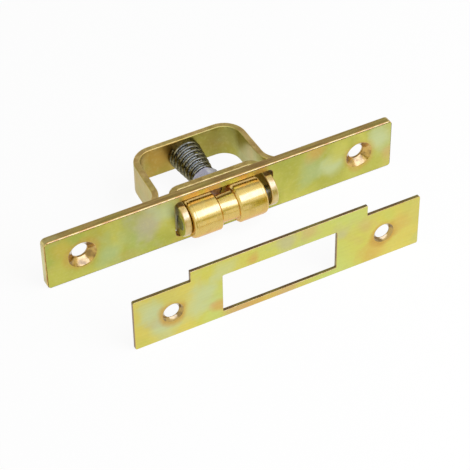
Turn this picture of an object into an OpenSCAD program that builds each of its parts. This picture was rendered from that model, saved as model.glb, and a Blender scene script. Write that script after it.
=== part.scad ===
// Roller catch for a rebated or flush door, with its strike plate.
// A forend with a rectangular opening carries a bent strip cage at its back.
// A U-shaped carrier holds a waisted roller on a riveted axle.
// A conical spring on the adjusting screw pushes the carrier out to the front.
// Origin: middle of the forend's back face. X runs along the forend, Y runs
// into the door and Z across the forend. Everything stands on its long edges.

/* [Forend] */
// Length of the forend along X
forend_len = 125; // [110:1:150]
// Width of the forend along Z
forend_w = 19; // [18:0.5:26]
// Thickness of the forend
forend_t = 3; // [2.5:0.5:4]
// Corner radius of the forend seen from the front
forend_corner = 1.8; // [0.4:0.1:4]
// Small bevel round the front edge of the forend
forend_bevel = 0.35; // [0.1:0.05:0.6]
// Distance between the two fixing screw holes of the forend
forend_hole_pitch = 100; // [92:1:104]
// Clearance hole for the forend's fixing screws
forend_hole_d = 5.3; // [4:0.1:5.8]
// Countersink diameter at the front of the forend
forend_sink_d = 9.7; // [8:0.1:10.4]

/* [Roller] */
// Diameter of the roller
roller_d = 12.7; // [11:0.1:14]
// How far the roller stands out of the forend's front face
roller_out = 7.95; // [6.5:0.05:8.5]
// Width of the waist turned in the middle of the roller
waist_w = 6.2; // [4:0.1:10]
// Diameter of the waist
waist_d = 9.4; // [7.5:0.1:10.6]
// Bevel of the shoulders beside the waist
shoulder = 0.6; // [0.2:0.1:0.8]
// Rounding of the roller's end rims
rim_r = 0.9; // [0.3:0.1:1.5]
// End play of the roller between the carrier's ears
roller_play = 2.25; // [0.4:0.05:5]
// Diameter of the axle
axle_d = 4.4; // [3.5:0.1:5.5]
// Height of the riveted axle ends outside the ears
rivet_h = 0.3; // [0.15:0.05:0.4]

/* [Carrier] */
// Width of the carrier over its two ears
carrier_w = 33.6; // [30:0.2:38]
// Thickness of the carrier's strip
carrier_t = 2.5; // [1.6:0.1:2.6]
// Height of the carrier's strip across Z
carrier_h = 11.6; // [10:0.1:12.6]
// Outer bend radius of the carrier
carrier_bend = 4.5; // [3.2:0.1:6]
// How far the middle of the ears' round ends lies behind the front face
ear_setback = 0; // [-1:0.1:1]
// Free space between the roller and the carrier's base
base_gap = 2.15; // [1.6:0.05:3]

/* [Cage] */
// Thickness of the cage's strip
cage_t = 2.2; // [1.6:0.1:2.6]
// Height of the cage's strip across Z
cage_h = 11.6; // [10:0.1:14]
// How far the cage's strip sits above the middle of the forend
cage_rise = 0.2; // [-0.5:0.1:0.5]
// Depth of the cage behind the forend
cage_depth = 27.8; // [26.6:0.1:36]
// Outer bend radius of the cage's two back corners
cage_bend = 8; // [5:0.1:9]
// Bend radius of the cage's feet on the outside
foot_bend = 6; // [3:0.1:7]
// Distance of each foot's end from the middle
foot_reach = 33; // [31:0.5:40]
// How much further out the left leg stands at its foot than at the back
left_lean = 1.5; // [0:0.1:2.5]

/* [Screw, nut and spring] */
// Outside diameter of the adjusting screw
screw_d = 4.7; // [4:0.1:5]
// Diameter of the screw's head
head_d = 9.4; // [8:0.1:10.4]
// Height of the screw's head
head_h = 2.6; // [2:0.1:3.4]
// Width of the nut across its corners
nut_d = 9.6; // [8.6:0.1:10.4]
// Thickness of the nut
nut_h = 4.7; // [3.5:0.1:5.5]
// Wire diameter of the spring
wire_d = 1.1; // [0.8:0.05:1.2]
// Outside diameter of the spring at the cage's back wall
spring_d = 11.6; // [10:0.1:12.6]
// How the spring widens from its small end, a straight cone at 1
spring_taper = 0.7; // [0.6:0.05:1]
// Number of turns of the spring
spring_turns = 7.5; // [6:0.5:8]

/* [Strike plate] */
// Length of the strike plate
strike_len = 100; // [90:1:120]
// Width of the strike plate beside its lip
strike_w = 19.5; // [19:0.5:26]
// Thickness of the strike plate
strike_t = 1.2; // [1:0.1:2]
// Length of the raised lip
lip_len = 61.6; // [50:0.2:64]
// Height of the lip above the rest of the top edge
lip_h = 4; // [1:0.1:8]
// Length of the window that the roller drops into
window_len = 40; // [38:0.5:48]
// Height of the window
window_h = 15; // [13:0.1:15.5]
// Distance between the strike's two screw holes
strike_hole_pitch = 74; // [68:1:80]
// Clearance hole for the strike's screws
strike_hole_d = 5; // [4:0.1:5.4]
// Countersink diameter at the front of the strike
strike_sink_d = 7; // [6:0.1:7.2]
// Distance of the strike's front face in front of the forend's front face
strike_ahead = 36.8; // [30:0.1:60]

/* [Hidden] */
$fn = 40;

// Running clearance on the radius between roller and axle, and nut and screw
run_gap = 0.07;
// Clearance on the radius where the axle passes the ears
ear_gap = 0.02;
// Small gap between the screw's head and the cage, and at the spring's ends
seat_gap = 0.05;
// Clearance on the radius where the screw passes the cage and the carrier
pass_gap = 0.4;
// Free space beside the carrier's ears in the forend's opening
opening_side_gap = 0.8;
// Free space above and below the roller in the forend's opening
opening_top_gap = 0.75;
// Free space between the carrier's ears and the cage's legs
leg_gap = 0.85;
// Clearance on the radius between the screw and the spring's small end
coil_gap = 0.3;
// Gap between the roller and the ear that it rests against
rest_gap = 0.15;
// Corner radius of the forend's opening
opening_r = 1.5;
// How far the tip of the screw stands out of the carrier's base
tip_out = 0.8;
// Width and depth of the slot in the screw's head
slot_w = 1.2;
slot_deep = 1.2;

roller_r = roller_d / 2;
axle_r = axle_d / 2;
screw_r = screw_d / 2;
waist_r = waist_d / 2;
front_y = -forend_t;
axle_y = front_y + roller_r - roller_out;
ear_in = carrier_w / 2 - carrier_t;
roller_len = 2 * ear_in - roller_play;
roller_x0 = -ear_in + min(rest_gap, roller_play / 3);
base_front = axle_y + roller_r + base_gap;
base_back = base_front + carrier_t;
opening_w = carrier_w + 2 * opening_side_gap;
opening_h = max(roller_d, carrier_h) + 2 * opening_top_gap;
nut_back = base_back + nut_h;
wall_front = cage_depth - cage_t;
leg_in = carrier_w / 2 + leg_gap;
leg_mid = leg_in + cage_t / 2;
cage_z0 = cage_rise - cage_h / 2;
spring_small_r = screw_r + coil_gap + wire_d / 2;
spring_big_r = (spring_d - wire_d) / 2;
strike_z0 = -forend_w / 2;

// Unit vector along v.
function unit(v) = v / norm(v);

// Vector v turned a quarter turn to the left.
function left(v) = [-v[1], v[0]];

// A list turned back to front.
function reversed(v) = [for (i = [len(v) - 1 : -1 : 0]) v[i]];

// Points of the bend at corner b of a strip that runs a, b, c.
function bend_points(a, b, c, radius, side, steps) =
    let (
        along = unit(b - a),
        next = unit(c - b),
        s = sign(along[0] * next[1] - along[1] * next[0]),
        angle = acos(along * next),
        centre = b - along * radius * tan(angle / 2) + s * radius * left(along),
        start = atan2(-s * left(along)[1], -s * left(along)[0])
    )
    [for (i = [0 : steps])
        let (turn = start + s * angle * i / steps)
        centre + (radius - s * side) * [cos(turn), sin(turn)]];

// One side of a bent strip, at the distance side to the left of its middle line.
function strip_side(path, radii, side, steps) =
    let (last = len(path) - 1)
    concat(
        [path[0] + side * left(unit(path[1] - path[0]))],
        [for (i = [1 : last - 1])
            each bend_points(path[i - 1], path[i], path[i + 1], radii[i - 1], side, steps)],
        [path[last] + side * left(unit(path[last] - path[last - 1]))]
    );

// Flat outline of a strip bent along a path.
module strip(path, radii, thickness, steps) {
    polygon(concat(
        strip_side(path, radii, thickness / 2, steps),
        reversed(strip_side(path, radii, -thickness / 2, steps))
    ));
}

// Flat rectangle with rounded corners, centred.
module round_rect(w, h, r) {
    square([w - 2 * r, h], center = true);
    square([w, h - 2 * r], center = true);
    for (x = [-1, 1], y = [-1, 1])
        translate([x * (w / 2 - r), y * (h / 2 - r)])
            circle(r = r, $fn = 32);
}

// Stands a flat shape drawn in X and Z up, from y0 to y1.
module along_y(y0, y1) {
    translate([0, y1, 0])
        rotate([90, 0, 0])
            linear_extrude(y1 - y0)
                children();
}

// Lays a flat shape drawn in Y and Z along X, from x0 to x1.
module along_x(x0, x1) {
    translate([x0, 0, 0])
        rotate([90, 0, 90])
            linear_extrude(x1 - x0)
                children();
}

// Cylinder along Y at x and z, with a second radius at its far end.
module rod_y(x, z, y0, y1, r0, r1) {
    translate([x, y0, z])
        rotate([-90, 0, 0])
            cylinder(h = y1 - y0, r1 = r0, r2 = r1, $fn = 48);
}

// Countersunk hole in a plate whose front face is at y0.
module sunk_hole(x, z, y0, thickness, hole_d, sink_d) {
    depth = (sink_d - hole_d) / 2;
    rod_y(x, z, y0 - 1, y0 + thickness + 1, hole_d / 2, hole_d / 2);
    rod_y(x, z, y0 - 0.5, y0 + depth, sink_d / 2 + 0.5, hole_d / 2);
}

// Side view of the forend, with its two front edges bevelled.
module bevelled_bar(size) {
    polygon([
        [front_y + forend_bevel, -size / 2],
        [0, -size / 2],
        [0, size / 2],
        [front_y + forend_bevel, size / 2],
        [front_y, size / 2 - forend_bevel],
        [front_y, -size / 2 + forend_bevel]
    ]);
}

module forend() {
    color([0.74, 0.67, 0.36])
    difference() {
        intersection() {
            along_y(front_y, 0) round_rect(forend_len, forend_w, forend_corner);
            along_x(-forend_len, forend_len) bevelled_bar(forend_w);
            translate([0, 0, -forend_w])
                linear_extrude(2 * forend_w)
                    rotate(-90)
                        mirror([1, 0])
                            bevelled_bar(forend_len);
        }
        along_y(front_y - 1, 1) round_rect(opening_w, opening_h, opening_r);
        for (s = [-1, 1])
            sunk_hole(s * forend_hole_pitch / 2, 0, front_y, forend_t, forend_hole_d, forend_sink_d);
    }
}

module cage() {
    y_foot = cage_t / 2;
    y_wall = cage_depth - cage_t / 2;
    path = [
        [-foot_reach, y_foot],
        [-leg_mid - left_lean, y_foot],
        [-leg_mid, y_wall],
        [leg_mid, y_wall],
        [leg_mid, y_foot],
        [foot_reach, y_foot]
    ];
    foot_mid = foot_bend + cage_t / 2;
    back_mid = cage_bend - cage_t / 2;
    color([0.66, 0.58, 0.30])
    difference() {
        translate([0, 0, cage_z0])
            linear_extrude(cage_h)
                strip(path, [foot_mid, back_mid, back_mid, foot_mid], cage_t, 12);
        rod_y(0, 0, wall_front - 1, cage_depth + 1, screw_r + pass_gap, screw_r + pass_gap);
    }
}

module carrier() {
    x = carrier_w / 2 - carrier_t / 2;
    y = base_back - carrier_t / 2;
    mid = carrier_bend - carrier_t / 2;
    ear_r = carrier_h / 2;
    ear_mid = front_y + ear_setback;
    tip = ear_mid - ear_r;
    color([0.78, 0.66, 0.34])
    difference() {
        intersection() {
            translate([0, 0, -ear_r])
                linear_extrude(carrier_h)
                    strip([[-x, tip - 1], [-x, y], [x, y], [x, tip - 1]], [mid, mid], carrier_t, 12);
            along_x(-carrier_w, carrier_w) union() {
                translate([ear_mid, 0]) circle(r = ear_r, $fn = 64);
                translate([ear_mid, -ear_r]) square([base_back - ear_mid + 1, carrier_h]);
            }
        }
        translate([-carrier_w, axle_y, 0])
            rotate([0, 90, 0])
                cylinder(h = 2 * carrier_w, r = axle_r + ear_gap, $fn = 48);
        rod_y(0, 0, base_front - 1, base_back + 1, screw_r + pass_gap, screw_r + pass_gap);
    }
}

// Half outline of the roller, turned round X: distance from the left end, radius.
function roller_outline() =
    let (
        a = (roller_len - waist_w) / 2,
        b = (roller_len + waist_w) / 2,
        c = shoulder
    )
    concat(
        [[0, axle_r + run_gap]],
        [for (i = [0 : 6]) [rim_r - rim_r * cos(15 * i), roller_r - rim_r + rim_r * sin(15 * i)]],
        [[a - c, roller_r], [a, roller_r - c], [a, waist_r], [b, waist_r], [b, roller_r - c], [b + c, roller_r]],
        [for (i = [0 : 6])
            [roller_len - rim_r + rim_r * sin(15 * i), roller_r - rim_r + rim_r * cos(15 * i)]],
        [[roller_len, axle_r + run_gap]]
    );

module roller() {
    color([0.85, 0.66, 0.32])
    translate([roller_x0, axle_y, 0])
        rotate([0, 90, 0])
            rotate_extrude($fn = 72)
                polygon([for (p = roller_outline()) [p[1], p[0]]]);
}

module axle() {
    x = carrier_w / 2;
    color([0.70, 0.66, 0.52])
    translate([0, axle_y, 0])
        rotate([0, 90, 0])
            rotate_extrude($fn = 48)
                polygon([
                    [0, -x - rivet_h],
                    [axle_r - 0.3, -x - rivet_h],
                    [axle_r + 0.35, -x - 0.05],
                    [axle_r + 0.35, -x],
                    [axle_r, -x],
                    [axle_r, x],
                    [axle_r + 0.35, x],
                    [axle_r + 0.35, x + 0.05],
                    [axle_r - 0.3, x + rivet_h],
                    [0, x + rivet_h]
                ]);
}

module adjusting_screw() {
    y_head = cage_depth + seat_gap;
    y_tip = base_front - tip_out;
    head_r = head_d / 2;
    edge = 0.9;
    color([0.62, 0.64, 0.66])
    difference() {
        rotate([-90, 0, 0])
            rotate_extrude($fn = 64)
                polygon(concat(
                    [[0, y_tip], [screw_r - 0.5, y_tip], [screw_r, y_tip + 0.5], [screw_r, y_head]],
                    [[head_r, y_head]],
                    [for (i = [0 : 8])
                        [head_r * cos(i * 11.25), y_head + edge + (head_h - edge) * sin(i * 11.25)]]
                ));
        translate([-slot_w / 2, y_head + head_h - slot_deep, -head_r])
            cube([slot_w, slot_deep + 1, 2 * head_r]);
    }
}

module screw_nut() {
    c = 0.55;
    r = nut_d / 2;
    color([0.66, 0.68, 0.74])
    difference() {
        intersection() {
            translate([0, base_back, 0])
                rotate([-90, 30, 0])
                    cylinder(h = nut_h, r = r, $fn = 6);
            rotate([-90, 0, 0])
                rotate_extrude($fn = 64)
                    polygon([
                        [0, base_back - 1],
                        [r + 1, base_back - 1],
                        [r + 1, nut_back - c - 0.5],
                        [r - 0.6, nut_back],
                        [0, nut_back]
                    ]);
        }
        rod_y(0, 0, base_back - 1, nut_back + 1, screw_r + run_gap, screw_r + run_gap);
    }
}

// Share of the spring's rise reached after a number of turns, with closed ends.
function coil_rise(turns, rise) =
    let (
        shut = 0.9,
        low = 1.03 * wire_d,
        pitch = (rise - 2 * shut * low) / (spring_turns - 2 * shut)
    )
    turns < shut ? turns * low
    : turns > spring_turns - shut ? rise - (spring_turns - turns) * low
    : shut * low + (turns - shut) * pitch;

module spring() {
    sides = 8;
    per_turn = 20;
    count = round(spring_turns * per_turn);
    y0 = nut_back + seat_gap + wire_d / 2;
    rise = wall_front - nut_back - 2 * seat_gap - wire_d;
    points = [for (i = [0 : count], j = [0 : sides - 1])
        let (
            turns = i / per_turn,
            a = 360 * turns + 40,
            b = 360 * (j + 0.5) / sides,
            r = spring_small_r + (spring_big_r - spring_small_r) * pow(i / count, spring_taper)
                + wire_d / 2 * cos(b),
            y = y0 + coil_rise(turns, rise) + wire_d / 2 * sin(b)
        )
        [r * cos(a), y, -r * sin(a)]];
    faces = concat(
        [[for (j = [sides - 1 : -1 : 0]) j]],
        [for (i = [0 : count - 1], j = [0 : sides - 1])
            let (k = (j + 1) % sides)
            [i * sides + j, (i + 1) * sides + k, (i + 1) * sides + j]],
        [for (i = [0 : count - 1], j = [0 : sides - 1])
            let (k = (j + 1) % sides)
            [i * sides + j, i * sides + k, (i + 1) * sides + k]],
        [[for (j = [0 : sides - 1]) count * sides + j]]
    );
    color([0.30, 0.30, 0.30])
    polyhedron(points = points, faces = faces, convexity = 10);
}

module strike_plate() {
    y0 = front_y - strike_ahead;
    mid_z = strike_z0 + strike_w / 2;
    color([0.74, 0.67, 0.36])
    difference() {
        along_y(y0, y0 + strike_t) union() {
            translate([0, mid_z]) round_rect(strike_len, strike_w, 0.6);
            translate([-lip_len / 2, mid_z]) square([lip_len, strike_w / 2 + lip_h]);
        }
        along_y(y0 - 1, y0 + strike_t + 1)
            translate([0, mid_z])
                round_rect(window_len, window_h, 0.4);
        for (s = [-1, 1])
            sunk_hole(s * strike_hole_pitch / 2, mid_z, y0, strike_t, strike_hole_d, strike_sink_d);
    }
}

forend();
cage();
carrier();
roller();
axle();
adjusting_screw();
screw_nut();
spring();
strike_plate();
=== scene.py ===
"""Looks of a roller catch and its strike plate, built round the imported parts."""
from math import cos, pi, radians, sin

import bpy
from mathutils import Matrix, Vector


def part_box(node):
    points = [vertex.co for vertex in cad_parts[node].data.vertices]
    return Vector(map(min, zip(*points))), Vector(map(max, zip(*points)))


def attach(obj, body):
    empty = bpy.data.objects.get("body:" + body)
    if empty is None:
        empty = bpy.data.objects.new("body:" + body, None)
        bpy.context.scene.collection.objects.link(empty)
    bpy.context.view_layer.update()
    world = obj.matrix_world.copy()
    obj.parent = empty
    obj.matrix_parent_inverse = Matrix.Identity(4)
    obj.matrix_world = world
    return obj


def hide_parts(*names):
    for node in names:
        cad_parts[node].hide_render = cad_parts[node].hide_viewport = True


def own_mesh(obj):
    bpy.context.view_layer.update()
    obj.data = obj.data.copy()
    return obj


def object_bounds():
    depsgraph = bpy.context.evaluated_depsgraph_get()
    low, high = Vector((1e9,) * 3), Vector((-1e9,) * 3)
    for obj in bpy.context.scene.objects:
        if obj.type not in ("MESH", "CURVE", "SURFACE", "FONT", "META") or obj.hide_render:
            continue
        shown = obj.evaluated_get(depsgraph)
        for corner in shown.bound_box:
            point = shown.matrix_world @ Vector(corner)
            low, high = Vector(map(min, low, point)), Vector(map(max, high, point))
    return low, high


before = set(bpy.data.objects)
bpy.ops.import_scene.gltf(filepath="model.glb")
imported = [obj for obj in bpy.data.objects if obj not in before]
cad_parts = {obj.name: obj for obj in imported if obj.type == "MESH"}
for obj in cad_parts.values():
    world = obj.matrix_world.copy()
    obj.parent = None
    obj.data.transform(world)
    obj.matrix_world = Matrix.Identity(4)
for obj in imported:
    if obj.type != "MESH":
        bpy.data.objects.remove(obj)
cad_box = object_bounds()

MM = 0.001

# The photograph's camera, in the catch's frame, in metres and degrees.
CAMERA_PLACE = (-0.21112, -0.41508, 0.40690)
CAMERA_TURN = -27.877  # from straight in front, towards the left
CAMERA_HEIGHT = 42.317  # above level
CAMERA_ROLL = -0.660
CAMERA_LENS = 147.50  # millimetres
CAMERA_SENSOR = 36  # width in millimetres
CAMERA_SHIFT = (-0.01897, 0.00366)
CAMERA_SEES = (0.01, 20)  # from the nearest to the farthest thing in view, in metres

# Studio light, in metres. Bearings run in degrees from straight in front towards the
# right, heights in degrees upwards.
FLOOR_GAP = 0.00002
FLOOR_SIZE = 6.0
FLOOR_TONE = 0.80
FLOOR_WHITE_SEEN = 0.93  # share of plain white that the camera sees on the floor
FLOOR_WHITE_MIRRORED = 0.70  # the same share in reflections
AMBIENT = 0.25  # the white room's strength as light
SOFTBOX_LIGHT = 4.5
SOFTBOX_SIZE = (0.44, 0.77)
SOFTBOX_DISTANCE = 0.55
SOFTBOX_BEARING = 36
SOFTBOX_HEIGHT = 44
CARD_DISTANCE = 0.55
GREY_CARD = {"size": (1.60, 0.52), "bearing": 180, "height": 44, "glow": (0.42, 0.42, 0.42)}
COOL_CARD = {"size": (1.00, 0.34), "bearing": 12, "height": 53, "glow": (2.2, 2.6, 5.6)}

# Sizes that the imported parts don't tell, in millimetres.
SINK_RADIUS = 4.85
STRIKE_SINK_RADIUS = 3.5
WAIST_WIDTH = 6.2
WAIST_RADIUS = 4.7
SHOULDER = 0.6
RIM = 0.9
AXLE_RADIUS = 2.2
AXLE_GAP = 0.07
THREAD_RADIUS = 2.35
THREAD_PITCH = 0.8
THREAD_DEPTH = 0.38
THREAD_SECTION = 0.40  # radius of the three-sided section of the thread's ridge
SLOT_WIDTH = 1.2
SLOT_DEPTH = 1.2
WIRE_RADIUS = 0.55
SPRING_SMALL = 3.2  # radius of the wire's middle at the nut
SPRING_BIG = 5.25  # the same at the cage's back wall
SPRING_TAPER = 0.7
SPRING_TURNS = 7.5
SPRING_SHUT = 0.9  # turns at each end that lie close together
SPRING_SHUT_RISE = 1.03  # rise of one such turn, in wire thicknesses
SPRING_START = 40  # degrees round the screw where the wire begins
FOREND_FRONT = -3.0  # place of the forend's front face along Y; the carrier's ears pass it
FOREND_HOLES = ((-50, 0), (50, 0))  # X and Z of each screw hole
STRIKE_FRONT = -39.8
STRIKE_HOLES = ((-37, 0.25), (37, 0.25))

# How the copied parts are cleaned and rounded, in millimetres and degrees.
MERGE_GAP = 0.002
FLAT_ANGLE = 0.8
SHARP_ANGLE = 30
SMOOTH_ANGLE = 40
LARGE_FACE = 20  # square millimetres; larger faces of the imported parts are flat

# The finishes of a painted part, by their places in its list of materials.
FACE, EDGE, SINK, WORN = range(4)
EAR = 2


# ---------------------------------------------------------------- colours

def tone(red, green, blue):
    """A colour given as it shows on a screen, 0 to 255, as the shader wants it."""
    values = [v / 255 for v in (red, green, blue)]
    return [v / 12.92 if v <= 0.04045 else ((v + 0.055) / 1.055) ** 2.4 for v in values] + [1.0]


OLIVE = tone(184, 184, 74)
LEAF = tone(176, 190, 84)
STRAW = tone(206, 202, 90)
GOLD = tone(210, 190, 78)
PEACH = tone(218, 170, 84)
ROSE = tone(212, 176, 116)
LILAC = tone(194, 186, 152)
MINT = tone(180, 198, 132)
MIST = tone(204, 214, 156)
RUST = tone(176, 112, 30)
AMBER = tone(206, 160, 66)
BARK = tone(122, 96, 36)
HAZEL = tone(164, 146, 60)
CREAM = tone(222, 216, 140)

PLATE_TINTS = (LEAF, OLIVE, STRAW, OLIVE)
STRIKE_TINTS = (tone(206, 214, 112), tone(214, 208, 90), tone(224, 208, 96), tone(216, 204, 98))
STRIP_TINTS = (tone(170, 170, 70), tone(178, 160, 62), tone(198, 170, 72), tone(182, 174, 74))


# ---------------------------------------------------------------- finishes

def feed(tree, socket, value):
    """Joins an output to a socket, or writes a plain value on it."""
    if isinstance(value, bpy.types.NodeSocket):
        tree.links.new(value, socket)
    else:
        socket.default_value = value


def reckon(tree, kind, a, b):
    """The result of a sum of two values or outputs, such as ADD or MAXIMUM."""
    made = tree.nodes.new("ShaderNodeMath")
    made.operation = kind
    feed(tree, made.inputs[0], a)
    feed(tree, made.inputs[1], b)
    return made.outputs[0]


class Finish:
    """A metal finish, made of nodes that read the piece's own coordinates."""

    def __init__(self, name, roughness):
        self.material = bpy.data.materials.new(name)
        self.material.use_nodes = True
        self.tree = self.material.node_tree
        self.shader = self.tree.nodes["Principled BSDF"]
        self.shader.inputs["Metallic"].default_value = 1.0
        self.shader.inputs["Roughness"].default_value = roughness
        self.place = self.node("ShaderNodeTexCoord").outputs["Object"]
        self.heights = []

    def node(self, kind, **settings):
        """A new node of a kind, with its settings."""
        made = self.tree.nodes.new(kind)
        for name, value in settings.items():
            setattr(made, name, value)
        return made

    def join(self, output, socket):
        self.tree.links.new(output, socket)

    def noise(self, size, stretch=(1, 1, 1), shift=(0, 0, 0), detail=2.0, bend=0.0):
        """Soft random values, whose spots are size millimetres wide."""
        mapping = self.node("ShaderNodeMapping")
        mapping.inputs["Location"].default_value = shift
        mapping.inputs["Scale"].default_value = [1 / (size * MM * s) for s in stretch]
        self.join(self.place, mapping.inputs["Vector"])
        noise = self.node("ShaderNodeTexNoise")
        noise.inputs["Scale"].default_value = 1.0
        noise.inputs["Detail"].default_value = detail
        noise.inputs["Distortion"].default_value = bend
        self.join(mapping.outputs["Vector"], noise.inputs["Vector"])
        return noise.outputs["Fac"]

    def ramp(self, value, stops):
        """Colours laid along a value: (place, colour) for each stop."""
        ramp = self.node("ShaderNodeValToRGB")
        line = ramp.color_ramp
        line.elements[0].position, line.elements[0].color = stops[0]
        line.elements[1].position, line.elements[1].color = stops[-1]
        for place, colour in stops[1:-1]:
            line.elements.new(place).color = colour
        self.join(value, ramp.inputs["Fac"])
        return ramp.outputs["Color"]

    def fit(self, value, low, high, to_low=0.0, to_high=1.0):
        """A value brought from one range to another, with soft ends."""
        fit = self.node("ShaderNodeMapRange", interpolation_type="SMOOTHSTEP")
        for name, number in (("From Min", low), ("From Max", high),
                             ("To Min", to_low), ("To Max", to_high)):
            fit.inputs[name].default_value = number
        self.join(value, fit.inputs["Value"])
        return fit.outputs["Result"]

    def mix(self, share, a, b):
        """Colour b laid over colour a by a share."""
        mix = self.node("ShaderNodeMix", data_type="RGBA")
        for place, value in ((0, share), (6, a), (7, b)):
            feed(self.tree, mix.inputs[place], value)
        return mix.outputs[2]

    def distance(self, centre, flatten=(1, 1, 1)):
        """Distance from a point in millimetres. A direction is left out where flatten is 0."""
        mapping = self.node("ShaderNodeMapping", vector_type="POINT")
        mapping.inputs["Location"].default_value = [-c * f for c, f in zip(centre, flatten)]
        mapping.inputs["Scale"].default_value = [f / MM for f in flatten]
        self.join(self.place, mapping.inputs["Vector"])
        length = self.node("ShaderNodeVectorMath", operation="LENGTH")
        self.join(mapping.outputs["Vector"], length.inputs[0])
        return length.outputs["Value"]

    def cloud(self, colour, centre, radius, tint, share, ragged):
        """A soft patch of another tint round a point, in millimetres."""
        reach = reckon(self.tree, "MULTIPLY", self.distance(centre),
                       self.fit(ragged, 0.25, 0.75, 0.55, 1.5))
        return self.mix(self.fit(reach, 0.15 * radius, radius, share, 0.0), colour, tint)

    def coat(self, weight, roughness, density=1.5):
        """A clear film over the metal, that shines more the denser it is."""
        self.shader.inputs["Coat Weight"].default_value = weight
        self.shader.inputs["Coat Roughness"].default_value = roughness
        self.shader.inputs["Coat IOR"].default_value = density

    def raise_by(self, value, height):
        """Adds relief of a height in millimetres."""
        self.heights.append((value, height))

    def done(self, colour):
        """Lays the colour and the relief on the shader."""
        self.join(colour, self.shader.inputs["Base Color"])
        normal = None
        for value, height in self.heights:
            bump = self.node("ShaderNodeBump")
            bump.inputs["Strength"].default_value = 1.0
            bump.inputs["Distance"].default_value = height * MM
            self.join(value, bump.inputs["Height"])
            if normal:
                self.join(normal, bump.inputs["Normal"])
            normal = bump.outputs["Normal"]
        if normal:
            self.join(normal, self.shader.inputs["Normal"])
        return self.material


def passivated(name, shift, tints, clouds, holes=(), radius=0, stain=0.0):
    """Yellow passivated zinc with drifting tints, on the flat faces of plates and strips.

    Each cloud is a (centre, radius, tint, share). A brown stain lies round each screw hole."""
    finish = Finish(name, 0.36)
    finish.coat(0.35, 0.30)
    drift = finish.noise(26, shift=shift, detail=1.5, bend=0.6)
    colour = finish.ramp(drift, list(zip((0.30, 0.44, 0.56, 0.68), tints)))
    blush = finish.noise(10, shift=(shift[0] + 7, shift[1], shift[2]), detail=2.5, bend=0.8)
    colour = finish.mix(finish.fit(blush, 0.58, 0.74, 0.0, 0.25), colour, ROSE)
    chill = finish.noise(12, shift=(shift[0] + 3, shift[1], shift[2] + 5), detail=2.5, bend=0.8)
    colour = finish.mix(finish.fit(chill, 0.56, 0.74, 0.0, 0.35), colour, MINT)
    ragged = finish.noise(8, shift=(shift[0] + 4, shift[1], shift[2]), detail=3)
    for centre, spread, tint, share in clouds:
        colour = finish.cloud(colour, centre, spread, tint, share, ragged)
    for x, z in holes:
        reach = reckon(finish.tree, "ADD", finish.distance((x, 0, z), (1, 0, 1)),
                       finish.fit(ragged, 0.3, 0.7, -0.8, 0.8))
        halo = finish.fit(reach, radius - 0.2, radius + 2.4, stain, 0.0)
        colour = finish.mix(halo, colour, AMBER)
    drawn = finish.noise(0.5, stretch=(24, 6, 1), shift=shift, detail=2)
    colour = finish.mix(finish.fit(drawn, 0.35, 0.75, 0.0, 0.09), colour, HAZEL)
    speckle = finish.noise(1.1, shift=shift, detail=3)
    colour = finish.mix(finish.fit(speckle, 0.45, 0.75, 0.0, 0.16), colour, CREAM)
    roughness = finish.noise(5, shift=shift, detail=3)
    finish.join(finish.fit(roughness, 0.3, 0.7, 0.31, 0.42), finish.shader.inputs["Roughness"])
    finish.raise_by(finish.noise(0.35, detail=2), 0.006)
    finish.raise_by(finish.noise(2.2, shift=shift, detail=2), 0.02)
    return finish.done(colour)


def sunk_seat(name, light, dark):
    """The turned countersinks: smoother and warmer than the plate round them."""
    finish = Finish(name, 0.20)
    finish.coat(1.0, 0.10)
    patch = finish.noise(2.4, detail=3)
    colour = finish.mix(finish.fit(patch, 0.30, 0.58), dark, light)
    finish.raise_by(finish.noise(0.4, detail=2), 0.001)
    return finish.done(colour)


def sheared_edge(name, light, dark, grain, clouds=()):
    """The cut edge of a plate: browner than its face, drawn out in streaks."""
    finish = Finish(name, 0.38)
    finish.coat(0.5, 0.35)
    streak = finish.noise(0.7, stretch=grain, detail=4)
    patch = finish.noise(7, detail=2)
    colour = finish.mix(finish.fit(streak, 0.35, 0.68), dark, light)
    colour = finish.mix(finish.fit(patch, 0.40, 0.70, 0.0, 0.35), colour, OLIVE)
    for centre, spread, tint, share in clouds:
        colour = finish.cloud(colour, centre, spread, tint, share, patch)
    finish.raise_by(streak, 0.03)
    return finish.done(colour)


def worn_edge(name, light, dark):
    """Rounded edges, where rubbing has left the film pale and thin."""
    finish = Finish(name, 0.34)
    finish.coat(1.0, 0.16)
    patch = finish.noise(3, detail=3)
    colour = finish.mix(finish.fit(patch, 0.35, 0.65), dark, light)
    finish.raise_by(finish.noise(0.5, detail=2), 0.008)
    return finish.done(colour)


def turned_brass():
    """Turned brass with faint tool lines and a few dull spots."""
    finish = Finish("turned_brass", 0.28)
    finish.coat(1.0, 0.15, 1.65)
    finish.shader.inputs["Specular Tint"].default_value = tone(255, 196, 120)
    lines = finish.noise(0.16, stretch=(1, 90, 90), detail=2)
    dull = finish.noise(3, shift=(2, 0, 0), detail=3, bend=0.4)
    colour = finish.ramp(dull, [(0.30, tone(224, 186, 78)), (0.50, tone(224, 194, 96)),
                                (0.72, tone(218, 182, 80))])
    colour = finish.mix(finish.fit(lines, 0.45, 0.75, 0.0, 0.22), colour, tone(196, 152, 76))
    finish.join(finish.fit(dull, 0.35, 0.75, 0.24, 0.33), finish.shader.inputs["Roughness"])
    finish.raise_by(lines, 0.004)
    finish.raise_by(finish.noise(2.4, detail=2), 0.005)
    return finish.done(colour)


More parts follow.
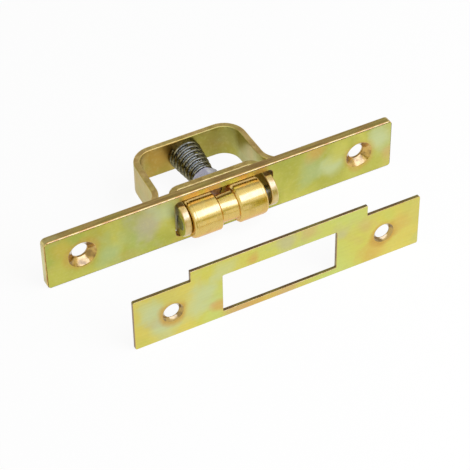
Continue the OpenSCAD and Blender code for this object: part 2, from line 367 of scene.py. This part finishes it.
def zinc(name, tints, roughness, bare, browned_round=None):
    """Bluish zinc that scatters light where it isn't bare, browner round a point if one is given.
    """
    finish = Finish(name, roughness)
    finish.coat(0.8, 0.15)
    finish.shader.inputs["Metallic"].default_value = bare
    bloom = finish.noise(2.0, detail=3)
    colour = finish.ramp(bloom, list(zip((0.32, 0.50, 0.70), tints)))
    finish.join(finish.fit(bloom, 0.3, 0.7, roughness - 0.05, roughness + 0.08),
                finish.shader.inputs["Roughness"])
    # A brown patch round the given point; on the screw, round its tip, which sits in the recess
    # behind the roller.
    if browned_round:
        colour = finish.cloud(colour, browned_round, 6, RUST, 0.9, bloom)
    finish.raise_by(finish.noise(0.5, detail=2), 0.01)
    return finish.done(colour)


def spring_steel():
    """Dark, oiled spring wire."""
    finish = Finish("spring_steel", 0.24)
    drawn = finish.noise(0.8, detail=3)
    colour = finish.ramp(drawn, [(0.34, tone(90, 87, 64)), (0.66, tone(150, 144, 112))])
    finish.raise_by(drawn, 0.008)
    return finish.done(colour)


def rivet_steel():
    """The axle: greyish steel with a thin yellow cast."""
    finish = Finish("rivet_steel", 0.30)
    patch = finish.noise(1.6, detail=3)
    colour = finish.ramp(patch, [(0.34, tone(104, 108, 88)), (0.52, tone(140, 140, 122)),
                                 (0.70, tone(120, 114, 84))])
    finish.raise_by(finish.noise(0.4, detail=3), 0.015)
    return finish.done(colour)


# ---------------------------------------------------------------- work on meshes

def only(piece):
    """Leaves a single piece selected."""
    bpy.ops.object.select_all(action="DESELECT")
    piece.select_set(True)
    bpy.context.view_layer.objects.active = piece


def open_mesh():
    bpy.ops.object.mode_set(mode="EDIT")


def close_mesh():
    bpy.ops.object.mode_set(mode="OBJECT")


def face_outwards():
    """Turns all faces of the open mesh outwards."""
    bpy.ops.mesh.select_all(action="SELECT")
    bpy.ops.mesh.normals_make_consistent(inside=False)


def cap_ends():
    """Fills the open ends of the open mesh."""
    bpy.ops.mesh.select_all(action="SELECT")
    bpy.ops.mesh.fill_holes(sides=0)


def settle(piece):
    """Puts the piece's place in its mesh."""
    only(piece)
    bpy.ops.object.transform_apply(location=True, rotation=True, scale=True)


def smooth(piece, angle):
    """Shades the piece smooth, but for edges sharper than an angle in degrees."""
    only(piece)
    bpy.ops.object.shade_smooth_by_angle(angle=radians(angle))


def copied_node(node, name):
    """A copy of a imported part, its loose triangles merged into clean faces."""
    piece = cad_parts[node].copy()
    piece.data = piece.data.copy()
    piece.name = name
    piece.data.name = name
    piece.parent = None
    for key in list(piece.keys()):
        del piece[key]
    bpy.context.scene.collection.objects.link(piece)
    piece.data.materials.clear()
    only(piece)
    open_mesh()
    bpy.ops.mesh.select_all(action="SELECT")
    bpy.ops.mesh.remove_doubles(threshold=MERGE_GAP * MM)
    bpy.ops.mesh.dissolve_limited(angle_limit=radians(FLAT_ANGLE))
    close_mesh()
    return piece


def round_edges(piece, width, segments, spare=None):
    """Rounds the sharp edges by a width in millimetres, apart from those that spare picks."""
    only(piece)
    open_mesh()
    bpy.ops.mesh.select_mode(type="EDGE")
    bpy.ops.mesh.select_all(action="DESELECT")
    bpy.ops.mesh.edges_select_sharp(sharpness=radians(SHARP_ANGLE))
    close_mesh()
    if spare:
        points = piece.data.vertices
        for edge in piece.data.edges:
            start, end = (points[i].co for i in edge.vertices)
            if edge.select and spare((start + end) / 2):
                edge.select = False
    open_mesh()
    bpy.ops.mesh.bevel(offset=width * MM, segments=segments, affect="EDGES", profile=0.5,
                       clamp_overlap=False, loop_slide=False)
    close_mesh()
    smooth(piece, SMOOTH_ANGLE)
    for face in piece.data.polygons:
        if face.area > LARGE_FACE * MM * MM:
            face.use_smooth = False
    even = piece.modifiers.new("even_shading", "WEIGHTED_NORMAL")
    even.mode = "FACE_AREA"
    even.weight = 100
    even.keep_sharp = True
    bpy.ops.object.modifier_apply(modifier=even.name)


def paint_faces(piece, materials, choose):
    """Gives each face the material that choose picks from its normal and middle."""
    for material in materials:
        piece.data.materials.append(material)
    for face in piece.data.polygons:
        face.material_index = choose(face.normal, face.center)


def turned(name, rings, centre, along, sides):
    """A turned piece, drawn out ring by ring along an axis: (place, radius) in metres.

    A ring list that comes back to its first ring makes a tube. Flat ends close any other."""
    along = Vector(along)
    turn = along.to_track_quat("Z", "Y").to_euler()
    start, radius = rings[0]
    tube = rings[0] == rings[-1]
    bpy.ops.object.select_all(action="DESELECT")
    bpy.ops.mesh.primitive_circle_add(vertices=sides, radius=radius, rotation=turn,
                                      location=Vector(centre) + start * along)
    piece = bpy.context.object
    piece.name = name
    piece.data.name = name
    settle(piece)
    open_mesh()
    bpy.ops.mesh.select_all(action="SELECT")
    for (place, size), (next_place, next_size) in zip(rings, rings[1:]):
        move = (next_place - place) * along
        grow = next_size / size
        bpy.ops.mesh.extrude_edges_move(TRANSFORM_OT_translate={"value": move})
        bpy.ops.transform.resize(value=(grow, grow, grow),
                                 center_override=Vector(centre) + next_place * along)
    if tube:
        bpy.ops.mesh.select_all(action="SELECT")
        bpy.ops.mesh.remove_doubles(threshold=MERGE_GAP / 2 * MM)
    else:
        cap_ends()
    face_outwards()
    close_mesh()
    return piece


def quarter(place, radius, reach, start, steps):
    """Ring points round a corner, from an angle in degrees over a quarter turn."""
    return [(place + reach * cos(radians(start - 90 * i / steps)),
             radius + reach * sin(radians(start - 90 * i / steps))) for i in range(steps + 1)]


# ---------------------------------------------------------------- pieces

def finished(piece, body, node):
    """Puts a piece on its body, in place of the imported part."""
    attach(piece, body)
    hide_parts(node)
    return piece


def on_front(front, patches):
    """Clouds on a plate's front face, from (x, z, radius, tint, share) for each."""
    return [((x, front, z), radius, tint, share) for x, z, radius, tint, share in patches]


def near_hole(middle, holes, radius):
    """Whether a face lies within a countersink; holes and radius are in millimetres."""
    return any(Vector((middle.x - x * MM, middle.z - z * MM)).length < radius * MM
               for x, z in holes)


def paint_plate(piece, finishes, holes, radius):
    """Gives a plate's flat sides, cut edges, countersinks and rounded edges their finishes."""
    def choose(normal, middle):
        if abs(normal.y) < 0.99 and near_hole(middle, holes, radius + 0.1):
            return SINK
        if abs(normal.y) > 0.97:
            return FACE
        return WORN if abs(normal.y) > 0.1 else EDGE

    paint_faces(piece, finishes, choose)


def make_forend():
    """The forend: the plate that two screws hold on the edge of the door."""
    piece = copied_node("forend", "forend_plate")
    round_edges(piece, 0.16, 3)
    # Patches on the front face. The peach and amber ones at z 7.8 to 8.2, from x -11 to 13 on the
    # strip over the opening, are a painted reflection of the brass roller below it.
    clouds = on_front(FOREND_FRONT, [
        (-57, 5, 7, GOLD, 0.8), (-59, -4, 7, STRAW, 0.6), (-46, 4, 6, GOLD, 0.4),
        (-41, -3.5, 8, MINT, 0.75), (-34, 0, 8, MINT, 0.4), (-27, 2.3, 9, LILAC, 0.85),
        (-20, 5, 7, MIST, 0.8), (-14.5, -9.3, 6, GOLD, 0.6), (24, 2, 8, OLIVE, 0.7),
        (33, 0, 8, MINT, 0.7), (40, -0.5, 8, MIST, 0.8), (34, 8, 5, PEACH, 0.65),
        (47, -6, 6, STRAW, 0.6), (43, 5.5, 7, STRAW, 0.9), (58, 3.5, 8, MIST, 0.85),
        (61.5, -3, 5, ROSE, 0.6), (-11, 8.2, 4.5, PEACH, 1.0), (-5, 8.2, 4, PEACH, 1.0),
        (7, 8.2, 4, PEACH, 1.0), (13, 7.8, 5, AMBER, 0.9)])
    face = passivated("forend_passivated_and_painted_reflection", (1.7, 0, 0.3), PLATE_TINTS, clouds,
                      FOREND_HOLES, SINK_RADIUS, 0.55)
    # On the cut edges, the cream patch at the left end, x -62.5, is painted light: that end face
    # mirrors the white floor.
    edge = sheared_edge("forend_edge", tone(210, 178, 98), tone(170, 134, 68), (14, 1, 1),
                        # The bark patch at x -18, mid-thickness, is painted shade on the
                        # opening's left wall, in the narrow gap beside the ear.
                        [((-62.5, -1.5, 0), 14, CREAM, 0.85), ((-18, -1.5, 0), 9, BARK, 0.9)])
    sink = sunk_seat("forend_seat", tone(206, 166, 78), tone(140, 108, 38))
    worn = worn_edge("forend_worn", tone(216, 184, 92), tone(198, 146, 60))
    paint_plate(piece, [face, edge, sink, worn], FOREND_HOLES, SINK_RADIUS)
    return finished(piece, "case", "forend")


def strip_face_or_edge(normal, middle):
    """The finish for the rolled sides of a bent strip, or for its cut edges."""
    return EDGE if abs(normal.z) > 0.75 else FACE


def make_cage():
    """The cage: a bent strip behind the forend, browner on the left of its back wall."""
    piece = copied_node("cage", "cage_strip")
    round_edges(piece, 0.35, 3)
    clouds = [((-10, 25.6, 4), 13, AMBER, 0.65), ((-2, 25.6, 3), 8, RUST, 0.2),
              ((14, 24, 2), 6, MINT, 0.2), ((6, 25.6, -2), 7, LEAF, 0.2),
              ((11, 25.6, 0), 11, BARK, 0.25),
              ((-17, 12, -1), 10, MIST, 0.2), ((16, 12, 0), 9, MIST, 0.3),
              ((-17, 8, 3), 8, STRAW, 0.5)]
    face = passivated("cage_passivated", (5.1, 2, 0.8), STRIP_TINTS, clouds)
    edge = sheared_edge("cage_edge", tone(232, 200, 118), tone(204, 168, 92), (3, 3, 1))
    paint_faces(piece, [face, edge], strip_face_or_edge)
    return finished(piece, "case", "cage")


def make_carrier():
    """The carrier: a bent strip, with two bright rounded ears that hold the axle."""
    piece = copied_node("carrier", "carrier_strip")
    low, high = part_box("axle")
    axle_y = (low.y + high.y) / 2

    def at_axle_hole(point):
        return Vector((0, point.y - axle_y, point.z)).length < (AXLE_RADIUS + 0.8) * MM

    def choose(normal, middle):
        if middle.y < FOREND_FRONT * MM:
            return FACE if abs(normal.x) > 0.95 else EAR
        return strip_face_or_edge(normal, middle)

    round_edges(piece, 0.5, 4, at_axle_hole)
    # The cream patch round (-17, -5, 0) is painted light: it lightens the left ear's outer face,
    # which lies in shade.
    clouds = [((0, 3.9, 4), 9, RUST, 0.7), ((-17, -5, 0), 8, CREAM, 0.8)]
    face = passivated("carrier_passivated_and_painted_light", (8.3, 1, 0.2), STRIP_TINTS, clouds)
    edge = sheared_edge("carrier_edge", tone(222, 192, 108), tone(188, 158, 80), (3, 3, 1))
    ear = worn_edge("carrier_ears", tone(226, 202, 132), tone(204, 170, 92))
    paint_faces(piece, [face, edge, ear], choose)
    return finished(piece, "carrier", "carrier")


def make_roller():
    """The waisted roller: round rims set off by fine grooves, and bevelled shoulders."""
    low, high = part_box("roller")
    radius = (high.y - low.y) / 2
    centre = (0, (low.y + high.y) / 2, 0)
    bore = (AXLE_RADIUS + AXLE_GAP) * MM
    rim = RIM * MM
    groove = 0.09 * MM
    bevel = SHOULDER * MM
    foot = 0.3 * MM
    waist = WAIST_RADIUS * MM
    middle = (low.x + high.x) / 2
    half = WAIST_WIDTH * MM / 2
    edge = rim + 0.25 * MM
    left = [(low.x + 0.3 * MM, bore), (low.x, bore + 0.3 * MM)]
    left += quarter(low.x + rim, radius - groove - rim, rim, 180, 8)
    left += [(low.x + edge, radius - groove), (low.x + edge + 0.06 * MM, radius - 1.6 * groove),
             (low.x + edge + 0.18 * MM, radius - 0.3 * groove), (low.x + edge + 0.3 * MM, radius),
             (middle - half - bevel, radius), (middle - half, radius - bevel),
             (middle - half, waist + foot), (middle - half + 0.3 * foot, waist + 0.3 * foot),
             (middle - half + foot, waist)]
    right = [(2 * middle - place, size) for place, size in reversed(left)]
    piece = turned("brass_roller", left + right + left[:1], centre, (1, 0, 0), 128)
    smooth(piece, 30)
    piece.data.materials.append(turned_brass())
    return finished(piece, "roller", "roller")


def make_axle():
    """The axle, its two ends spread and dished by riveting."""
    low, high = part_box("axle")
    centre = (0, (low.y + high.y) / 2, 0)
    end = high.x
    shaft = AXLE_RADIUS * MM
    spread = shaft + 0.35 * MM
    half = [(end - 0.12 * MM, 0.1 * MM), (end - 0.12 * MM, 0.7 * MM),
            (end - 0.02 * MM, 1.1 * MM), (end, 1.5 * MM), (end - 0.08 * MM, 2.0 * MM),
            (end - 0.2 * MM, 2.35 * MM), (end - 0.3 * MM, spread),
            (end - 0.33 * MM, spread - 0.1 * MM), (end - 0.33 * MM, shaft)]
    rings = [(-place, size) for place, size in half] + half[::-1]
    piece = turned("riveted_axle", rings, centre, (1, 0, 0), 64)
    smooth(piece, 35)
    piece.data.materials.append(rivet_steel())
    return finished(piece, "carrier", "axle")


def make_screw():
    """Threaded shank with a helical ridge, and a slotted round head."""
    low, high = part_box("adjusting_screw")
    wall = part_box("cage")[1].y + 0.05 * MM
    core = (THREAD_RADIUS - THREAD_DEPTH) * MM
    head = (high.x - low.x) / 2
    dome = high.y - wall
    edge = 0.9 * MM
    tip = [(low.y, 0.2 * MM), (low.y, core - 0.35 * MM), (low.y + 0.4 * MM, core)]
    cap = [(wall, core), (wall, head - 0.15 * MM), (wall + 0.12 * MM, head)]
    cap += [(wall + edge + (dome - edge) * sin(radians(a)), head * cos(radians(a)))
            for a in (0, 12, 24, 36, 48, 60, 70, 79, 86)]
    piece = turned("threaded_screw", tip + cap, (0, 0, 0), (0, 1, 0), 64)
    cut_slot(piece, high.y, head)
    ridge = thread_ridge(low.y + 0.5 * MM, wall)
    only(piece)
    ridge.select_set(True)
    bpy.ops.object.join()
    smooth(piece, 35)
    tints = (tone(222, 230, 232), tone(212, 220, 226), tone(232, 236, 236))
    piece.data.materials.append(zinc("screw_zinc", tints, 0.22, 0.15, (0, low.y / MM, 0)))
    return finished(piece, "adjusting_screw", "adjusting_screw")


def cut_slot(piece, top, head):
    """Cuts the driver's slot across the head."""
    tall = 4 * MM
    bpy.ops.object.select_all(action="DESELECT")
    bpy.ops.mesh.primitive_cube_add(size=1, scale=(SLOT_WIDTH * MM, tall, 2.4 * head),
                                    location=(0, top - SLOT_DEPTH * MM + tall / 2, 0))
    cutter = bpy.context.object
    settle(cutter)
    only(piece)
    cut = piece.modifiers.new("slot", "BOOLEAN")
    cut.operation = "DIFFERENCE"
    cut.solver = "EXACT"
    cut.object = cutter
    bpy.ops.object.modifier_apply(modifier=cut.name)
    bpy.data.objects.remove(cutter)


def thread_ridge(start, end):
    """The ridge of a screw thread: a three-sided section wound round the Y axis."""
    section = THREAD_SECTION * MM
    turns = int((end - start) / (THREAD_PITCH * MM)) - 1
    bpy.ops.object.select_all(action="DESELECT")
    bpy.ops.mesh.primitive_circle_add(vertices=3, radius=section, rotation=(0, 0, -pi / 2),
                                      location=(THREAD_RADIUS * MM - section, start + section, 0))
    ridge = bpy.context.object
    settle(ridge)
    wind = ridge.modifiers.new("thread", "SCREW")
    wind.axis = "Y"
    wind.screw_offset = THREAD_PITCH * MM
    wind.iterations = turns
    wind.steps = 28
    wind.render_steps = 28
    bpy.ops.object.modifier_apply(modifier=wind.name)
    open_mesh()
    cap_ends()
    face_outwards()
    close_mesh()
    return ridge


def make_nut():
    """The six-sided nut behind the carrier, its corners rounded."""
    piece = copied_node("screw_nut", "hex_nut")
    round_edges(piece, 0.18, 3)
    tints = (tone(204, 204, 216), tone(194, 192, 210), tone(216, 216, 224))
    piece.data.materials.append(zinc("nut_zinc", tints, 0.30, 0.5))
    return finished(piece, "carrier", "screw_nut")


def spring_rise(turns, rise):
    """How far the wire has risen after some turns: shut at both ends, open between them."""
    low = SPRING_SHUT_RISE * 2 * WIRE_RADIUS * MM
    if turns < SPRING_SHUT:
        return turns * low
    if turns > SPRING_TURNS - SPRING_SHUT:
        return rise - (SPRING_TURNS - turns) * low
    steep = (rise - 2 * SPRING_SHUT * low) / (SPRING_TURNS - 2 * SPRING_SHUT)
    return SPRING_SHUT * low + (turns - SPRING_SHUT) * steep


def spring_reach(turns):
    """How far the wire's middle is from the screw's axis after some turns."""
    widening = (turns / SPRING_TURNS) ** SPRING_TAPER
    return (SPRING_SMALL + (SPRING_BIG - SPRING_SMALL) * widening) * MM


def make_spring():
    """A conical spring: the wire's round section, drawn out step by step round the screw."""
    low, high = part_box("spring")
    wire = WIRE_RADIUS * MM
    rise = high.y - low.y - 2 * wire
    per_turn = 32
    step = 2 * pi / per_turn
    angle = radians(SPRING_START)
    bpy.ops.object.select_all(action="DESELECT")
    bpy.ops.mesh.primitive_circle_add(vertices=12, radius=wire, fill_type="NGON",
                                      location=(SPRING_SMALL * MM, low.y + wire, 0))
    piece = bpy.context.object
    piece.name = "coil_spring"
    settle(piece)
    open_mesh()
    bpy.ops.mesh.select_all(action="SELECT")
    bpy.ops.transform.rotate(value=-angle, orient_axis="Y", center_override=(0, 0, 0))
    for i in range(round(SPRING_TURNS * per_turn)):
        before, after = i / per_turn, (i + 1) / per_turn
        lift = spring_rise(after, rise) - spring_rise(before, rise)
        out = spring_reach(after) - spring_reach(before)
        angle += step
        bpy.ops.mesh.extrude_region_move()
        bpy.ops.transform.rotate(value=-step, orient_axis="Y", center_override=(0, 0, 0))
        bpy.ops.transform.translate(value=(out * cos(angle), lift, -out * sin(angle)))
    cap_ends()
    face_outwards()
    close_mesh()
    smooth(piece, 50)
    piece.data.materials.append(spring_steel())
    finished(piece, "case", "spring")
    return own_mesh(piece)


def make_strike():
    """The strike plate, thinner and a little paler than the forend."""
    piece = copied_node("strike_plate", "striking_plate")
    round_edges(piece, 0.10, 2)
    clouds = on_front(STRIKE_FRONT, [
        (-41.6, -4.1, 7, MIST, 0.85), (-43, -1, 6, LILAC, 0.4), (-44, 3.5, 7, MIST, 0.8),
        (-47, -8.3, 5, STRAW, 0.7), (-26.5, 2.5, 8, MIST, 0.8), (-30, -1, 6, MIST, 0.6),
        (-20, 9, 6, MIST, 0.5), (-21.1, -4.1, 4, PEACH, 0.8), (-14, -9.3, 9, ROSE, 0.9),
        (2, -9.3, 7, ROSE, 0.8), (-8, -9.3, 12, PEACH, 0.6), (-9.4, 9.7, 3, PEACH, 0.7),
        (2.5, 11.3, 6, LILAC, 0.6), (10, 12.5, 5, ROSE, 0.6), (21.7, 6.2, 4, LILAC, 0.5),
        (30.4, 6, 5, ROSE, 0.45), (41.9, 1.5, 6, PEACH, 0.45), (45.2, 8.9, 5, STRAW, 0.5),
        (32.7, -6.7, 6, PEACH, 0.55)])
    face = passivated("strike_passivated", (3.3, 0, 6.1), STRIKE_TINTS, clouds,
                      STRIKE_HOLES, STRIKE_SINK_RADIUS, 0.85)
    edge = sheared_edge("strike_edge", tone(150, 120, 68), tone(104, 78, 40), (14, 1, 1))
    sink = sunk_seat("strike_seat", tone(184, 152, 76), tone(118, 92, 38))
    worn = worn_edge("strike_worn", tone(214, 184, 96), tone(196, 150, 70))
    paint_plate(piece, [face, edge, sink, worn], STRIKE_HOLES, STRIKE_SINK_RADIUS)
    return finished(piece, "case", "strike_plate")


# ---------------------------------------------------------------- studio

def set_camera():
    """The photograph's view: the camera's place, its turn, height and roll, and its lens."""
    lens = bpy.data.cameras.new("photo_view")
    lens.sensor_fit = "HORIZONTAL"
    lens.sensor_width = CAMERA_SENSOR
    lens.lens = CAMERA_LENS
    lens.shift_x, lens.shift_y = CAMERA_SHIFT
    lens.clip_start, lens.clip_end = CAMERA_SEES
    camera = bpy.data.objects.new("photo_view", lens)
    turn = (Matrix.Rotation(radians(CAMERA_TURN), 4, "Z")
            @ Matrix.Rotation(radians(90 - CAMERA_HEIGHT), 4, "X")
            @ Matrix.Rotation(radians(CAMERA_ROLL), 4, "Z"))
    camera.matrix_world = Matrix.Translation(CAMERA_PLACE) @ turn
    bpy.context.scene.collection.objects.link(camera)
    bpy.context.scene.camera = camera


def share_of_rays(tree, seen, mirrored):
    """A value that differs between what the camera sees, what shines back, and all else."""
    rays = tree.nodes.new("ShaderNodeLightPath").outputs
    shining = reckon(tree, "MAXIMUM", rays["Is Glossy Ray"], rays["Is Transmission Ray"])
    return reckon(tree, "MAXIMUM", reckon(tree, "MULTIPLY", rays["Is Camera Ray"], seen),
                  reckon(tree, "MULTIPLY", shining, mirrored))


def bare_material(name):
    """A material with an output and nothing else: the material, its tree and its surface."""
    material = bpy.data.materials.new(name)
    material.use_nodes = True
    tree = material.node_tree
    tree.nodes.clear()
    return material, tree, tree.nodes.new("ShaderNodeOutputMaterial").inputs["Surface"]


def lay_floor():
    """A plain pale floor just under the catch, white to the camera, with the catch's shadow."""
    bpy.ops.object.select_all(action="DESELECT")
    bpy.ops.mesh.primitive_plane_add(size=FLOOR_SIZE, location=(0, 0, cad_box[0][2] - FLOOR_GAP))
    floor = bpy.context.object
    floor.name = "floor"
    material, tree, surface = bare_material("pale_floor")
    plain = tree.nodes.new("ShaderNodeBsdfDiffuse")
    plain.inputs["Color"].default_value = (FLOOR_TONE, FLOOR_TONE, FLOOR_TONE, 1)
    white = tree.nodes.new("ShaderNodeEmission")
    blend = tree.nodes.new("ShaderNodeMixShader")
    tree.links.new(share_of_rays(tree, FLOOR_WHITE_SEEN, FLOOR_WHITE_MIRRORED), blend.inputs[0])
    tree.links.new(plain.outputs[0], blend.inputs[1])
    tree.links.new(white.outputs[0], blend.inputs[2])
    tree.links.new(blend.outputs[0], surface)
    floor.data.materials.append(material)


def light_world():
    """White to the camera and in reflections, softer as light."""
    world = bpy.data.worlds.new("white_room")
    world.use_nodes = True
    tree = world.node_tree
    background = tree.nodes["Background"]
    background.inputs["Color"].default_value = (1, 1, 1, 1)
    level = reckon(tree, "MAXIMUM", share_of_rays(tree, 1.0, 1.0), AMBIENT)
    tree.links.new(level, background.inputs["Strength"])
    bpy.context.scene.world = world


def facing_middle(bearing, height, distance):
    """A place seen from the catch at a bearing and a height in degrees, turned to face it."""
    level = cos(radians(height))
    towards = Vector((level * sin(radians(bearing)), -level * cos(radians(bearing)),
                      sin(radians(height))))
    facing = towards.to_track_quat("Z", "Y").to_matrix().to_4x4()
    return Matrix.Translation(towards * distance) @ facing


def hang_softbox():
    """The soft lamp. The metal doesn't mirror it, because the cards stand in for it there."""
    lamp = bpy.data.lights.new("softbox", "AREA")
    lamp.shape = "RECTANGLE"
    lamp.size, lamp.size_y = SOFTBOX_SIZE
    lamp.energy = SOFTBOX_LIGHT * pi * lamp.size * lamp.size_y
    softbox = bpy.data.objects.new("softbox", lamp)
    softbox.matrix_world = facing_middle(SOFTBOX_BEARING, SOFTBOX_HEIGHT, SOFTBOX_DISTANCE)
    softbox.visible_glossy = False
    bpy.context.scene.collection.objects.link(softbox)


def hang_card(name, size, bearing, height, glow):
    """A plain card that the metal mirrors. It shows only in reflections."""
    bpy.ops.object.select_all(action="DESELECT")
    bpy.ops.mesh.primitive_plane_add(size=1)
    card = bpy.context.object
    card.name = name
    card.data.transform(Matrix.Diagonal((*size, 1, 1)))
    card.matrix_world = facing_middle(bearing, height, CARD_DISTANCE)
    for sight in ("camera", "diffuse", "shadow", "transmission", "volume_scatter"):
        setattr(card, "visible_" + sight, False)
    material, tree, surface = bare_material(name)
    light = tree.nodes.new("ShaderNodeEmission")
    light.inputs["Color"].default_value = (*glow, 1)
    tree.links.new(light.outputs[0], surface)
    card.data.materials.append(material)


set_camera()
make_forend()
make_cage()
make_carrier()
make_roller()
make_axle()
make_screw()
make_nut()
make_spring()
make_strike()
lay_floor()
light_world()
hang_softbox()
hang_card("grey_card", **GREY_CARD)
hang_card("cool_card", **COOL_CARD)
bpy.context.scene.view_settings.view_transform = "Standard"
